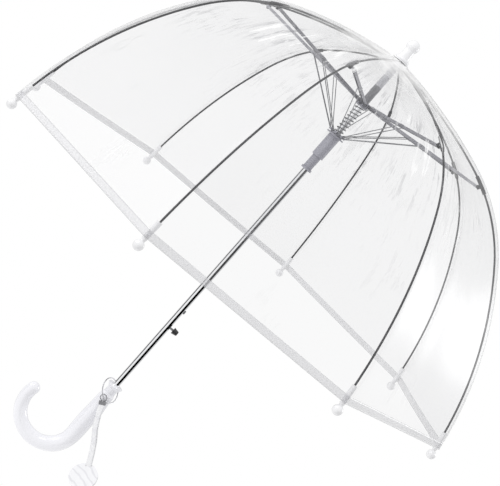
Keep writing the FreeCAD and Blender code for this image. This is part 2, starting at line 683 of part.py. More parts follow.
def make_strap():
    tilt = V(-0.613, 0.4615, 0.641).normalize()
    loop_centre = V(0.8, 0.9, 41.0)
    loop = primitive("Torus", "strap_loop", at(*loop_centre, FreeCAD.Rotation(UP, tilt)),
                     Radius1="loop_bend", Radius2="loop_wire")
    node("strap_loop", loop)

    across = V(0, 1, 0).cross(STRAP_RUN).normalize()
    facing = STRAP_RUN.cross(across)
    corner = at(*STRAP_HINGE, axes(across, facing, STRAP_RUN)).multiply(
        at(-d.clamp_width / 2, d.clamp_forward - d.clamp_depth / 2, d.bail_bend))
    clamp = primitive("Box", "clamp_block", corner, Length="clamp_width", Width="clamp_depth",
                      Height="clamp_length")
    bail = primitive("Torus", "clamp_bail", at(*STRAP_HINGE, FreeCAD.Rotation(UP, facing)),
                     Radius1="bail_bend", Radius2="bail_wire")

    start = RIBBON_ROUTE[0]
    path = rounded_route(RIBBON_ROUTE)
    run = V(RIBBON_ROUTE[1] - start).normalize()
    wide = V(0, 1, 0).cross(run).normalize()
    deep = run.cross(wide)
    mouth_place = at(*start, axes(wide, deep, run)).multiply(
        at(-d.ribbon_width / 2 - 0.1, -d.ribbon_depth / 2 - 0.1, 0))
    mouth = primitive("Box", "clamp_mouth", mouth_place, Length="ribbon_width + 0.2",
                      Width="ribbon_depth + 0.2", Height="2 * clamp_length")
    node("strap_clamp", cut("strap_clamp", fuse("clamp_blank", [clamp, bail]), [mouth]))

    half_w = wide * (d.ribbon_width / 2)
    half_d = deep * (d.ribbon_depth / 2)
    section = Part.makePolygon([start + half_w + half_d, start - half_w + half_d, start - half_w - half_d,
                                start + half_w - half_d, start + half_w + half_d])
    ribbon = doc.addObject("Part::Feature", "strap_ribbon")
    ribbon.Shape = path.makePipeShell([section], True, False)
    node("strap_ribbon", ribbon)

    end_run = V(RIBBON_ROUTE[3] - RIBBON_ROUTE[2]).normalize()
    face = V(0.45, 0.72, 0.53).normalize()
    flat_down = (end_run - face * end_run.dot(face)).normalize()
    centre = RIBBON_ROUTE[3] + flat_down * (d.disc_radius - d.disc_grasp)
    disc = primitive("Cylinder", "disc_blank", at(*(centre - face * (d.disc_depth / 2)),
                                                  FreeCAD.Rotation(UP, face)),
                     Radius="disc_radius", Height="disc_depth")
    node("strap_disc", cut("strap_disc", disc, [ribbon]))


# ---- build everything ----------------------------------------------------------------------------
make_shaft()
make_notch()
make_ferrule()
make_grip()
make_collar()
make_hub()
make_spring(make_runner())
for limb in range(int(d.limb_count)):
    make_rib(limb)
    make_arm(limb)
    make_wire(limb)
make_canopy()
make_button()
make_strap()
doc.recompute()

failed = [o.Label for o in doc.Objects if "Invalid" in o.State or "Error" in o.State]
if failed:
    raise RuntimeError(f"not recomputed: {failed}")
for name, made in nodes.items():
    if made.Shape.isNull() or not made.Shape.isValid() or made.Shape.Volume <= 0:
        raise RuntimeError(f"{name} has no valid solid")
for name, made in nodes.items():
    made.Shape.exportStep(f"parts/{name}.step")
print(len(nodes), "sub-parts written")
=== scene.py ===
"""Looks of the clear dome stick umbrella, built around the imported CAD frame.  Metres, +Z up the shaft."""
import bpy
import bmesh
import json
import math
from mathutils import Matrix, Vector, noise


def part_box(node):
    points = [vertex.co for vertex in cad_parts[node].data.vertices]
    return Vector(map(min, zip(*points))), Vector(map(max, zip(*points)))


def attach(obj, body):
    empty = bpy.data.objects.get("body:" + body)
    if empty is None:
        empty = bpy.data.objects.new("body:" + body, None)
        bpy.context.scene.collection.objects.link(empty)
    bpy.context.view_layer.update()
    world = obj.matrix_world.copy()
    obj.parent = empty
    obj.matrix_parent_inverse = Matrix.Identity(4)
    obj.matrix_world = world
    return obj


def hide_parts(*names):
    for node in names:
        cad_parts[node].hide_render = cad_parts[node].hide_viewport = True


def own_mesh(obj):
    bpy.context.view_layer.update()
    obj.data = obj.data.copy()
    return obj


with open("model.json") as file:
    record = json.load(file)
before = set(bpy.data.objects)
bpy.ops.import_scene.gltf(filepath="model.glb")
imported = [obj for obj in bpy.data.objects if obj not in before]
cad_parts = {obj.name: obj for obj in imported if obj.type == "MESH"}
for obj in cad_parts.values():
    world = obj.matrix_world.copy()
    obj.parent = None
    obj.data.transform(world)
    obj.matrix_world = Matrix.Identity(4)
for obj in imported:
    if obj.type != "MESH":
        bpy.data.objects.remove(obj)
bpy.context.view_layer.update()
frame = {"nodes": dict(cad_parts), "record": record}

scene = bpy.context.scene
UP = Vector((0, 0, 1))
JOINTS = {j["name"]: j for j in frame["record"]["behaviour"]["joints"]}
LIMBS = 8


def unit(v):
    return Vector(v).normalized()


# ---- camera --------------------------------------------------------------------------------------
# The umbrella stands upright here and is tilted in the picture, so the camera is rolled instead.
CAMERA_PLACE = Vector((-0.0076, 1.5220, 0.4565))
CAMERA_RIGHT = unit((-0.7507, -0.0674, 0.6572))
CAMERA_BACK = unit((0.0006, 0.9948, 0.1027))
LENS, SENSOR = 88.44, 36.0


def make_camera():
    data = bpy.data.cameras.new("camera")
    data.lens = LENS
    data.sensor_width = SENSOR
    data.clip_start = 0.01
    data.clip_end = 50
    camera = bpy.data.objects.new("camera", data)
    scene.collection.objects.link(camera)
    up = CAMERA_BACK.cross(CAMERA_RIGHT).normalized()
    right = up.cross(CAMERA_BACK).normalized()
    turn = Matrix((right, up, CAMERA_BACK)).transposed()
    camera.matrix_world = Matrix.Translation(CAMERA_PLACE) @ turn.to_4x4()
    scene.camera = camera


make_camera()


# ---- mesh helpers --------------------------------------------------------------------------------
def new_piece(name, verts, faces, material, smooth=True):
    mesh = bpy.data.meshes.new(name)
    mesh.from_pydata([tuple(v) for v in verts], [], faces)
    mesh.update()
    if smooth:
        mesh.polygons.foreach_set("use_smooth", [True] * len(mesh.polygons))
    mesh.materials.append(material)
    piece = bpy.data.objects.new(name, mesh)
    scene.collection.objects.link(piece)
    return piece


def close_normals(piece):
    """Turn every face of a closed mesh outwards."""
    bm = bmesh.new()
    bm.from_mesh(piece.data)
    bmesh.ops.recalc_face_normals(bm, faces=bm.faces)
    bm.to_mesh(piece.data)
    bm.free()


def grid_faces(rows, columns, wrap=False):
    faces = []
    for i in range(rows - 1):
        for j in range(columns if wrap else columns - 1):
            a, b = i * columns + j, i * columns + (j + 1) % columns
            faces.append((a, b, b + columns, a + columns))
    return faces


def tube(points, radius, sides):
    """Verts and faces of a round bar through the points, with flat ends."""
    verts = []
    normal = (points[1] - points[0]).orthogonal()
    count = len(points)
    for i, point in enumerate(points):
        run = (points[min(i + 1, count - 1)] - points[max(i - 1, 0)]).normalized()
        normal = (normal - run * normal.dot(run)).normalized()
        across = run.cross(normal)
        for k in range(sides):
            angle = 2 * math.pi * k / sides
            verts.append(point + (normal * math.cos(angle) + across * math.sin(angle)) * radius)
    faces = grid_faces(count, sides, wrap=True)
    faces.append(tuple(range(sides - 1, -1, -1)))
    faces.append(tuple((count - 1) * sides + k for k in range(sides)))
    return verts, faces


# ---- material helpers ----------------------------------------------------------------------------
class Nodes:
    """A material's Principled shader and short calls that add texture nodes to it."""

    def __init__(self, name, colour, roughness, metallic=0.0, **sockets):
        self.material = bpy.data.materials.new(name)
        self.material.use_nodes = True
        self.tree = self.material.node_tree
        self.shader = self.tree.nodes["Principled BSDF"]
        self.shader.inputs["Base Color"].default_value = (*colour, 1)
        self.shader.inputs["Roughness"].default_value = roughness
        self.shader.inputs["Metallic"].default_value = metallic
        for socket, value in sockets.items():
            self.shader.inputs[socket.replace("_", " ")].default_value = value
        self.place = self.add("ShaderNodeTexCoord").outputs["Object"]

    def add(self, kind, **settings):
        node = self.tree.nodes.new(kind)
        for key, value in settings.items():
            setattr(node, key, value)
        return node

    def link(self, source, target):
        self.tree.links.new(source, target)

    def stretched(self, x, y, z):
        mapping = self.add("ShaderNodeMapping")
        mapping.inputs["Scale"].default_value = (x, y, z)
        self.link(self.place, mapping.inputs["Vector"])
        return mapping.outputs["Vector"]

    def noise(self, scale, detail=3.0, vector=None, rough=0.5):
        texture = self.add("ShaderNodeTexNoise")
        texture.inputs["Scale"].default_value = scale
        texture.inputs["Detail"].default_value = detail
        texture.inputs["Roughness"].default_value = rough
        self.link(vector or self.place, texture.inputs["Vector"])
        return texture.outputs["Fac"]

    def ranged(self, source, low, high, to_low, to_high):
        node = self.add("ShaderNodeMapRange")
        node.inputs["From Min"].default_value = low
        node.inputs["From Max"].default_value = high
        node.inputs["To Min"].default_value = to_low
        node.inputs["To Max"].default_value = to_high
        self.link(source, node.inputs["Value"])
        return node.outputs["Result"]

    def maths(self, operation, a, b):
        node = self.add("ShaderNodeMath", operation=operation)
        for value, socket in ((a, node.inputs[0]), (b, node.inputs[1])):
            if isinstance(value, (int, float)):
                socket.default_value = value
            else:
                self.link(value, socket)
        return node.outputs[0]

    def ramp(self, source, stops):
        node = self.add("ShaderNodeValToRGB")
        elements = node.color_ramp.elements
        while len(elements) < len(stops):
            elements.new(0.5)
        for element, (position, colour) in zip(elements, stops):
            element.position = position
            element.color = (*colour, 1)
        self.link(source, node.inputs["Fac"])
        return node.outputs["Color"]

    def bump(self, height, distance, strength=1.0):
        node = self.add("ShaderNodeBump")
        node.inputs["Distance"].default_value = distance
        node.inputs["Strength"].default_value = strength
        self.link(height, node.inputs["Height"])
        self.link(node.outputs["Normal"], self.shader.inputs["Normal"])

    def drive(self, source, socket):
        self.link(source, self.shader.inputs[socket])


def chrome():
    m = Nodes("chrome", (0.86, 0.87, 0.88), 0.07, 1.0)
    drawn = m.noise(90, 2, m.stretched(1, 1, 0.03))
    smudge = m.noise(14, 4)
    m.drive(m.ranged(m.maths("MULTIPLY", drawn, smudge), 0.1, 0.45, 0.05, 0.14), "Roughness")
    m.drive(m.ramp(smudge, ((0.3, (0.8, 0.81, 0.83)), (0.7, (0.9, 0.9, 0.91)))), "Base Color")
    m.bump(drawn, 0.00003, 0.4)
    return m.material


def steel(name, dark, light, roughness):
    m = Nodes(name, light, roughness, 1.0)
    grain = m.noise(260, 4)
    cloud = m.noise(30, 3)
    m.drive(m.ramp(cloud, ((0.3, dark), (0.7, light))), "Base Color")
    m.drive(m.ranged(grain, 0.3, 0.7, roughness - 0.06, roughness + 0.1), "Roughness")
    m.bump(grain, 0.00004, 0.5)
    return m.material


def plastic(name, colour, shade, roughness, coat=0.5, alpha=1.0):
    """Moulded plastic: an even colour with faint flow marks and a fine orange peel."""
    m = Nodes(name, colour, roughness, Coat_Weight=coat, Coat_Roughness=0.06, IOR=1.49, Alpha=alpha)
    flow = m.noise(22, 4, m.stretched(1, 1, 0.35))
    peel = m.noise(300, 2)
    m.drive(m.ramp(flow, ((0.3, shade), (0.65, colour))), "Base Color")
    m.drive(m.ranged(m.noise(60, 3), 0.3, 0.7, roughness - 0.05, roughness + 0.07), "Roughness")
    m.bump(peel, 0.000012, 0.2)
    return m.material


# heights between which the creases are painted with shade and highlights: from nothing to full,
# and from full to nothing
CREASES_START, CREASES_FULL = 0.42, 0.515
CREASES_FADE, CREASES_END = 0.530, 0.555
# the crown, where the gores are gathered: distances from the shaft where its veil is full, and gone;
# its veil also whitens the colour there as a painted reflection
CROWN_FULL, CROWN_END, CROWN_RAGGED, CROWN_VEIL = 0.02, 0.14, 0.03, 0.72
MOST_COVER = 0.95
# how much a crease of painted shade and one of painted highlight cover, and the painted shade's colour
PAINTED_SHADE_COVER, PAINTED_HIGHLIGHT_COVER = 0.42, 0.6
PAINTED_CREASE_SHADE = (0.22, 0.22, 0.24)


def film(name, thin, thick, tint):
    """Clear film: nearly nothing face on, more where it slants away and at the crown, where a painted
    reflection also whitens its colour; with fine creases that run down from the shoulder, painted with shade
    in dark lines and with highlights in a few soft pale streaks.  thin and thick are its cover face on and
    edge on."""
    m = Nodes(name, tint, 0.26, Coat_Weight=0.08, Coat_Roughness=0.2, IOR=2.0)
    split = m.add("ShaderNodeSeparateXYZ")
    m.link(m.place, split.inputs[0])
    x, y, z = split.outputs
    rim = m.add("ShaderNodeLayerWeight")
    rim.inputs["Blend"].default_value = 0.5
    slant = m.maths("POWER", rim.outputs["Facing"], 3.0)
    veil = m.ranged(slant, 0.0, 1.0, thin, thick)
    reach = m.maths("SQRT", m.maths("ADD", m.maths("MULTIPLY", x, x), m.maths("MULTIPLY", y, y)), 0.0)
    ragged = m.ranged(m.noise(45, 4), 0.3, 0.7, -CROWN_RAGGED, CROWN_RAGGED)
    crown = m.ranged(m.maths("ADD", reach, ragged), CROWN_FULL, CROWN_END, CROWN_VEIL, 0.0)
    # creases: noise drawn out down the gores, in azimuth and height; bumped, and painted with shade and
    # highlights
    turn = m.maths("ARCTAN2", y, x)
    spread = m.add("ShaderNodeCombineXYZ")
    m.link(m.maths("MULTIPLY", turn, 3.0), spread.inputs[0])
    m.link(m.maths("MULTIPLY", z, 2.2), spread.inputs[1])
    line = m.noise(7.0, 6, spread.outputs[0], 0.7)
    patch = m.noise(9.0, 3)
    shoulder = m.maths("MULTIPLY", m.ranged(z, CREASES_START, CREASES_FULL, 0.0, 1.0),
                       m.ranged(z, CREASES_FADE, CREASES_END, 1.0, 0.0))
    crumple = m.maths("MULTIPLY", shoulder, m.ranged(patch, 0.50, 0.62, 0.05, 1.0))
    # painted shade: dark lines along the creases near the shoulder
    dark = m.maths("MULTIPLY", crumple, m.ranged(line, 0.545, 0.60, 0.0, 1.0))
    # painted highlight: pale streaks along the creases, and soft pale patches beyond them
    pale = m.maths("MULTIPLY", m.ranged(line, 0.46, 0.41, 0.0, 1.0),
                   m.maths("ADD", crumple, m.ranged(patch, 0.57, 0.7, 0.0, 0.3)))
    cover = m.maths("ADD", m.maths("ADD", veil, crown),
                    m.maths("ADD", m.maths("MULTIPLY", dark, PAINTED_SHADE_COVER),
                            m.maths("MULTIPLY", pale, PAINTED_HIGHLIGHT_COVER)))
    m.drive(m.maths("MINIMUM", cover, MOST_COVER), "Alpha")
    # painted reflection: the colour whitens at the crown, where the film slants away and along the pale
    # streaks
    painted_reflection = m.maths("ADD", m.maths("ADD", m.maths("MULTIPLY", crown, 1.8), slant), pale)
    white = m.maths("MINIMUM", painted_reflection, 1.0)
    # a Mix node's colours are its inputs 6 and 7, and its output 2
    shade = m.add("ShaderNodeMix", data_type="RGBA")
    shade.inputs[6].default_value = (*tint, 1)
    shade.inputs[7].default_value = (1.0, 1.0, 1.0, 1)
    m.link(white, shade.inputs[0])
    # painted shade: the dark creases turn the colour towards a dark grey
    deep = m.add("ShaderNodeMix", data_type="RGBA")
    deep.inputs[7].default_value = (*PAINTED_CREASE_SHADE, 1)
    m.link(dark, deep.inputs[0])
    m.link(shade.outputs[2], deep.inputs[6])
    m.drive(deep.outputs[2], "Base Color")
    m.bump(m.maths("ADD", line, m.noise(26, 4)), 0.0004, 0.2)
    return m.material


def rippled_tag():
    """White moulded tag with a few shallow ripples across it, and painted shade in the grooves between them.
    """
    m = Nodes("tag_plastic", (0.86, 0.86, 0.88), 0.24, Coat_Weight=0.3, Coat_Roughness=0.06, IOR=1.49)
    waves = m.add("ShaderNodeTexWave", wave_type="BANDS", bands_direction="Z")
    waves.inputs["Scale"].default_value = 42
    waves.inputs["Distortion"].default_value = 3.0
    waves.inputs["Detail Scale"].default_value = 1.4
    m.link(m.place, waves.inputs["Vector"])
    # painted shade: the grooves are coloured darker than the faces
    painted_groove_shade, face = (0.74, 0.74, 0.77), (0.85, 0.85, 0.87)
    m.drive(m.ramp(waves.outputs["Fac"], ((0.05, painted_groove_shade), (0.22, face))), "Base Color")
    m.bump(waves.outputs["Fac"], 0.0003, 0.4)
    return m.material


def weave():
    m = Nodes("ribbon_weave", (0.9, 0.9, 0.92), 0.55, Sheen_Weight=0.4, Sheen_Roughness=0.4)
    ribs = m.add("ShaderNodeTexWave", wave_type="BANDS", bands_direction="Z")
    ribs.inputs["Scale"].default_value = 420
    ribs.inputs["Distortion"].default_value = 0.6
    m.link(m.place, ribs.inputs["Vector"])
    m.drive(m.ramp(m.noise(160, 3), ((0.3, (0.82, 0.82, 0.85)), (0.65, (0.93, 0.93, 0.94)))), "Base Color")
    m.bump(ribs.outputs["Fac"], 0.00012, 0.6)
    return m.material


CHROME = chrome()
RIB_STEEL = steel("rib_wire", (0.012, 0.012, 0.013), (0.028, 0.028, 0.030), 0.34)
ARM_STEEL = steel("arm_steel", (0.26, 0.26, 0.285), (0.46, 0.46, 0.49), 0.30)
SPRING_STEEL = steel("spring_steel", (0.16, 0.16, 0.17), (0.34, 0.345, 0.355), 0.24)
STRAP_STEEL = steel("strap_steel", (0.06, 0.06, 0.065), (0.42, 0.42, 0.44), 0.16)
LOOP_STEEL = steel("loop_steel", (0.38, 0.38, 0.40), (0.70, 0.70, 0.72), 0.30)
TAG_WHITE = rippled_tag()
GRIP_WHITE = plastic("grip_white", (0.90, 0.90, 0.935), (0.87, 0.87, 0.91), 0.16, 0.35)
WHITE = plastic("white_plastic", (0.90, 0.90, 0.91), (0.86, 0.86, 0.88), 0.22, 0.3)
GREY = plastic("grey_plastic", (0.36, 0.36, 0.41), (0.20, 0.20, 0.24), 0.3, 0.6)
DARK_GREY = plastic("neck_plastic", (0.20, 0.20, 0.215), (0.15, 0.15, 0.16), 0.35, 0.4)
CLEAR = plastic("clear_plastic", (0.74, 0.74, 0.78), (0.62, 0.62, 0.67), 0.18, 0.8, alpha=0.6)
BLACK = plastic("black_plastic", (0.012, 0.012, 0.013), (0.02, 0.02, 0.021), 0.38, 0.2)
FILM = film("clear_film", 0.11, 0.5, (0.50, 0.50, 0.525))
SEAM = film("welded_seam", 0.05, 0.5, (0.70, 0.70, 0.72))
HEM = film("hem_film", 0.34, 0.6, (0.66, 0.66, 0.685))
RIBBON = weave()


# ---- wrist strap ---------------------------------------------------------------------------------
STRAP_HINGE = Vector(JOINTS["strap_swing"]["pos_m"])
RIBBON_WIDTH = 0.0076
RIBBON_LAYER = 0.0007
RIBBON_STEPS = 6
LAYERS_APART, LAYERS_BULGE = 0.00042, 0.0009
RIBBON_CUP = 0.0004
# radians that its layers twist apart midway and turn by the tag, and the share of width it loses midway
RIBBON_TWIST, RIBBON_TURN, RIBBON_NARROWS = 0.35, 0.25, 0.06
RIBBON_ROUTE = [
    STRAP_HINGE + Vector((-0.0025, 0.00125, -0.0042)),
    STRAP_HINGE + Vector((-0.0122, 0.0047, -0.0283)),
    STRAP_HINGE + Vector((-0.0307, 0.0054, -0.0523)),
    STRAP_HINGE + Vector((-0.0432, 0.0082, -0.0778)),
]


def route_points(route):
    """Points along the NURBS spline that has the route as its control points."""
    curve = bpy.data.curves.new("route", "CURVE")
    curve.dimensions = "3D"
    curve.resolution_u = 24
    spline = curve.splines.new("NURBS")
    spline.points.add(len(route) - 1)
    for point, place in zip(spline.points, route):
        point.co = (*place, 1)
    spline.order_u = 3
    spline.use_endpoint_u = True
    carrier = bpy.data.objects.new("route", curve)
    mesh = bpy.data.meshes.new_from_object(carrier)
    points = [v.co.copy() for v in mesh.vertices]
    bpy.data.objects.remove(carrier)
    return points


def make_ribbon():
    """A flat ribbon folded double: two layers that part a little between the clamp and the tag."""
    path = route_points(RIBBON_ROUTE)
    count = len(path)
    verts, faces = [], []
    for side in (-1, 1):
        first = len(verts)
        for i, point in enumerate(path):
            share = i / (count - 1)
            run = (path[min(i + 1, count - 1)] - path[max(i - 1, 0)]).normalized()
            turn = side * RIBBON_TWIST * math.sin(math.pi * share) + RIBBON_TURN * share
            twist = Matrix.Rotation(turn, 3, run)
            across = twist @ run.cross(Vector((0, 1, 0))).normalized() * -1
            deep = run.cross(across).normalized()
            part = side * (LAYERS_APART + LAYERS_BULGE * math.sin(math.pi * share) ** 2)
            middle = point + deep * part
            half = RIBBON_WIDTH / 2 * (1 - RIBBON_NARROWS * math.sin(math.pi * share))
            rim = []
            for k in range(RIBBON_STEPS + 1):
                x = -1 + 2 * k / RIBBON_STEPS
                cup = RIBBON_CUP * (1 - x * x) * side
                rim.append((x * half, cup))
            for x, cup in rim:
                verts.append(middle + across * x + deep * (cup + RIBBON_LAYER / 2))
            for x, cup in reversed(rim):
                verts.append(middle + across * x + deep * (cup - RIBBON_LAYER / 2))
        ring = 2 * (RIBBON_STEPS + 1)
        faces += [tuple(first + n for n in face) for face in grid_faces(count, ring, wrap=True)]
        faces.append(tuple(first + n for n in range(ring - 1, -1, -1)))
        faces.append(tuple(first + (count - 1) * ring + n for n in range(ring)))
    ribbon = new_piece("wrist_ribbon", verts, faces, RIBBON)
    close_normals(ribbon)
    return ribbon, path


ribbon, ribbon_path = make_ribbon()
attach(ribbon, "strap")
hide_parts("strap_ribbon")


# ---- rib outline ---------------------------------------------------------------------------------
# Three arcs in the plane of a rib, each with its radius and the downward slopes of its ends.
ARCS = ((0.635, 7.0, 20.7), (0.224, 20.7, 51.5), (0.458, 51.5, 80.3))
SPLIT_SLOPE = 29.9
FILM_GAP = 0.0040
PIVOT = JOINTS["rib_swing_1"]["pos_m"]
FIRST_AZIMUTH = math.atan2(PIVOT[1], PIVOT[0])
RIB_START = (math.hypot(PIVOT[0], PIVOT[1]), PIVOT[2])


def normal_of(slope):
    return math.sin(math.radians(slope)), math.cos(math.radians(slope))


def arc_centres():
    """The centre of each arc, each arc running on from the one before."""
    centres, point = [], RIB_START
    for radius, first, last in ARCS:
        nr, nz = normal_of(first)
        centre = (point[0] - nr * radius, point[1] - nz * radius)
        nr, nz = normal_of(last)
        point = (centre[0] + nr * radius, centre[1] + nz * radius)
        centres.append(centre)
    return centres


CENTRES = arc_centres()


def on_rib(slope, offset):
    """(radius, height) this far outside the rib's centre line, where the rib has this slope."""
    number = 0 if slope < ARCS[0][2] else 1 if slope < ARCS[1][2] else 2
    radius = ARCS[number][0] + offset
    nr, nz = normal_of(slope)
    return CENTRES[number][0] + nr * radius, CENTRES[number][1] + nz * radius


def slopes_between(first, last, step=0.0052):
    """Slopes from first to last, about step apart along the rib, with every arc's end among them."""
    marks = [first] + [a[1] for a in ARCS if first < a[1] < last] + [last]
    out = [first]
    for start, end in zip(marks, marks[1:]):
        radius = next(a[0] for a in ARCS if a[1] - 1e-6 <= start < a[2])
        count = max(1, round(radius * math.radians(end - start) / step))
        out += [start + (end - start) * (k + 1) / count for k in range(count)]
    return out


def azimuth(limb):
    """Azimuth of a rib, counted from 0; halves are the middles of the gores."""
    return FIRST_AZIMUTH + limb * 2 * math.pi / LIMBS


def outward(limb):
    return Vector((math.cos(azimuth(limb)), math.sin(azimuth(limb)), 0))


# ---- canopy film ---------------------------------------------------------------------------------
GORE_COLUMNS = 26
SAG = 0.0035
FULL_SAG_WIDTH = 0.2
# creases in the film's shape, round the slope where the rib turns most sharply
BEND_SLOPE, BEND_SPREAD = 34, 13
PUCKER_PITCH, PUCKER_REACH, PUCKER_DEPTH = 0.0075, 0.022, 0.0009
FAN_DEPTH, SLACK_DEPTH = 0.0022, 0.0024
CALM_EDGE = 0.012
# how fast each noise changes per metre, sideways and then up, and how far it and the rib shift the puckers
WAVER_SCALE, FAN_SCALES, SLACK_SCALES = 9, (40, 7), (16, 5)
PUCKER_WAVER, PUCKER_SHIFT = 5, 1.7
# degrees of slope over which the hem stiffens the film, and the share of the sag that it takes away
HEM_STIFFENS, HEM_LIFTS = 5, 0.5
SHOULDER_RADIUS, SHOULDER_END = ARCS[1][0], ARCS[1][2]
SIDE_RADIUS, LAST_SLOPE = ARCS[2][0], ARCS[2][2]


def film_point(limb, share, slope, offset):
    """A point of the film: share runs 0 to 1 from one rib to the next, slope runs down the rib."""
    radius, height = on_rib(slope, offset)
    left, right = outward(limb), outward(limb + 1)
    point = (left * (1 - share) + right * share) * radius
    point.z = height
    middle = outward(limb + 0.5)
    nr, nz = normal_of(slope)
    normal = middle * nr + UP * nz
    width = radius * 2 * math.sin(math.pi / LIMBS)
    edge = min(share, 1 - share) * width
    # the film sags a little between the ribs, and puckers along the weld where the rib turns sharply
    sag = SAG * 4 * share * (1 - share) * min(1.0, width / FULL_SAG_WIDTH)
    bend = math.exp(-((slope - BEND_SLOPE) / BEND_SPREAD) ** 2)
    waver = noise.noise(Vector((point.x * WAVER_SCALE, point.y * WAVER_SCALE, point.z * WAVER_SCALE)))
    run = slope * (SHOULDER_RADIUS if slope < SHOULDER_END else SIDE_RADIUS) * math.pi / 180
    fade = math.exp(-edge / PUCKER_REACH)
    phase = run / PUCKER_PITCH + PUCKER_WAVER * waver + limb * PUCKER_SHIFT
    pucker = math.sin(phase) * fade * PUCKER_DEPTH * bend
    side, up = FAN_SCALES
    fan = noise.noise(Vector((point.x * side + limb, point.y * side, point.z * up))) * FAN_DEPTH * bend
    side, up = SLACK_SCALES
    slack = noise.noise(Vector((point.x * side, point.y * side, point.z * up + 3))) * SLACK_DEPTH
    calm = min(1.0, edge / CALM_EDGE)
    hem = max(0.0, 1 - (LAST_SLOPE - slope) / HEM_STIFFENS)
    lift = pucker + (fan + slack * (1 - hem)) * calm
    return point - normal * (sag * (1 - HEM_LIFTS * hem)) + normal * lift


def film_patch(limb, half, first, last, offset, columns):
    """Verts and faces of half a gore between two slopes.  half is 0 beside rib limb, and 1 beside the next
    one."""
    rows = slopes_between(first, last)
    shares = [half * 0.5 + 0.5 * k / columns for k in range(columns + 1)]
    verts = [film_point(limb, share, slope, offset) for slope in rows for share in shares]
    faces = grid_faces(len(rows), columns + 1)
    return verts, [tuple(reversed(face)) for face in faces]


def cut_size(first, last):
    """(width, length, area) of half a gore's flat pattern between two slopes, from the rib's arcs alone."""
    half_chord, lean = math.sin(math.pi / LIMBS), math.cos(math.pi / LIMBS)
    length = sum((radius + FILM_GAP) * math.radians(max(0.0, min(last, end) - max(first, start)))
                 for radius, start, end in ARCS)
    marks = [on_rib(slope, FILM_GAP) for slope in slopes_between(first, last)]
    area = sum((r0 + r1) / 2 * half_chord * math.hypot((r1 - r0) * lean, z1 - z0)
               for (r0, z0), (r1, z1) in zip(marks, marks[1:]))
    return marks[-1][0] * half_chord, length, area


def fold_with(piece):
    """Give the patch a mesh of its own."""
    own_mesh(piece)


def make_canopy():
    for limb in range(LIMBS):
        for half in (0, 1):
            rib = limb + half
            number = rib % LIMBS + 1
            tag = f"{limb + 1}{'ab'[half]}"
            for part, first, last in (("upper", ARCS[0][1], SPLIT_SLOPE), ("lower", SPLIT_SLOPE, LAST_SLOPE)):
                verts, faces = film_patch(limb, half, first, last, FILM_GAP, GORE_COLUMNS)
                piece = new_piece(f"film_{part}_{tag}", verts, faces, FILM)
                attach(piece, f"rib_{part}_{number}")
                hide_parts("canopy")
                width, length, area = cut_size(first, last)
                hem = None
                if part == "lower":
                    hem = make_hem(limb, half, tag, number)
                    fold_with(hem)
                fold_with(piece)


HEM_WIDTH = 0.0088
HEM_THICK = 0.0008
HEM_GAP = FILM_GAP + 0.0002
HEM_ROWS = 5


def make_hem(limb, half, tag, number):
    """The welded hem: a flat strip outside the film's edge."""
    start = LAST_SLOPE - math.degrees(HEM_WIDTH / SIDE_RADIUS)
    slopes = [start + (LAST_SLOPE - start) * k / HEM_ROWS for k in range(HEM_ROWS + 1)]
    shares = [half * 0.5 + 0.5 * k / GORE_COLUMNS for k in range(GORE_COLUMNS + 1)]
    verts = []
    profile = [(s, HEM_GAP) for s in slopes] + [(s, HEM_GAP + HEM_THICK) for s in reversed(slopes)]
    for share in shares:
        for slope, offset in profile:
            verts.append(film_point(limb, share, slope, offset))
    count = len(profile)
    faces = [tuple(reversed(face)) for face in grid_faces(len(shares), count, wrap=True)]
    piece = new_piece(f"hem_{tag}", verts, faces, HEM)
    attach(piece, f"rib_lower_{number}")
    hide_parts("hem_band")
    return piece


SEAM_HALF_WIDTH = 0.0042
SEAM_STARTS_AFTER, SEAM_LAST_SLOPE = 1.2, 79.0
# the seam's share of its full width at the shaft, how fast that grows with radius, and how much of the
# gores' fall to either side of the rib its edges follow
SEAM_NARROW, SEAM_WIDENS, SEAM_DRAPE = 0.35, 12, 0.9
# places across the seam, in half widths, and their lift: a bead near each edge and a crown in the middle
SEAM_PROFILE = ((-1.0, 0.0003), (-0.82, 0.0007), (-0.6, 0.0003), (0.0, 0.0009), (0.6, 0.0003), (0.82, 0.0007),
                (1.0, 0.0003))


def make_seams():
    """The welded channel over each rib: a narrow strip, with a raised bead along each edge."""
    for limb in range(LIMBS):
        tangent = UP.cross(outward(limb))
        for part, first, last in (("upper", ARCS[0][1] + SEAM_STARTS_AFTER, SPLIT_SLOPE),
                                  ("lower", SPLIT_SLOPE, SEAM_LAST_SLOPE)):
            verts = []
            rows = slopes_between(first, last)
            for slope in rows:
                radius, height = on_rib(slope, FILM_GAP)
                nr, nz = normal_of(slope)
                normal = outward(limb) * nr + UP * nz
                centre = outward(limb) * radius + UP * height
                half_width = SEAM_HALF_WIDTH * min(1.0, SEAM_NARROW + radius * SEAM_WIDENS)
                for across, lift in SEAM_PROFILE:
                    drop = abs(across) * half_width * math.tan(math.pi / LIMBS) * nr
                    verts.append(centre + tangent * (across * half_width) + normal * lift
                                 - outward(limb) * drop * SEAM_DRAPE)
            faces = [tuple(reversed(f)) for f in grid_faces(len(rows), len(SEAM_PROFILE))]
            piece = new_piece(f"seam_{part}_{limb + 1}", verts, faces, SEAM)
            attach(piece, f"rib_{part}_{limb + 1}")
            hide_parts("canopy")


make_canopy()
make_seams()


# ---- main spring ---------------------------------------------------------------------------------
SPRING_WIRE = 0.0006
SPRING_TURNS = 8.5
STEPS_A_TURN = 36


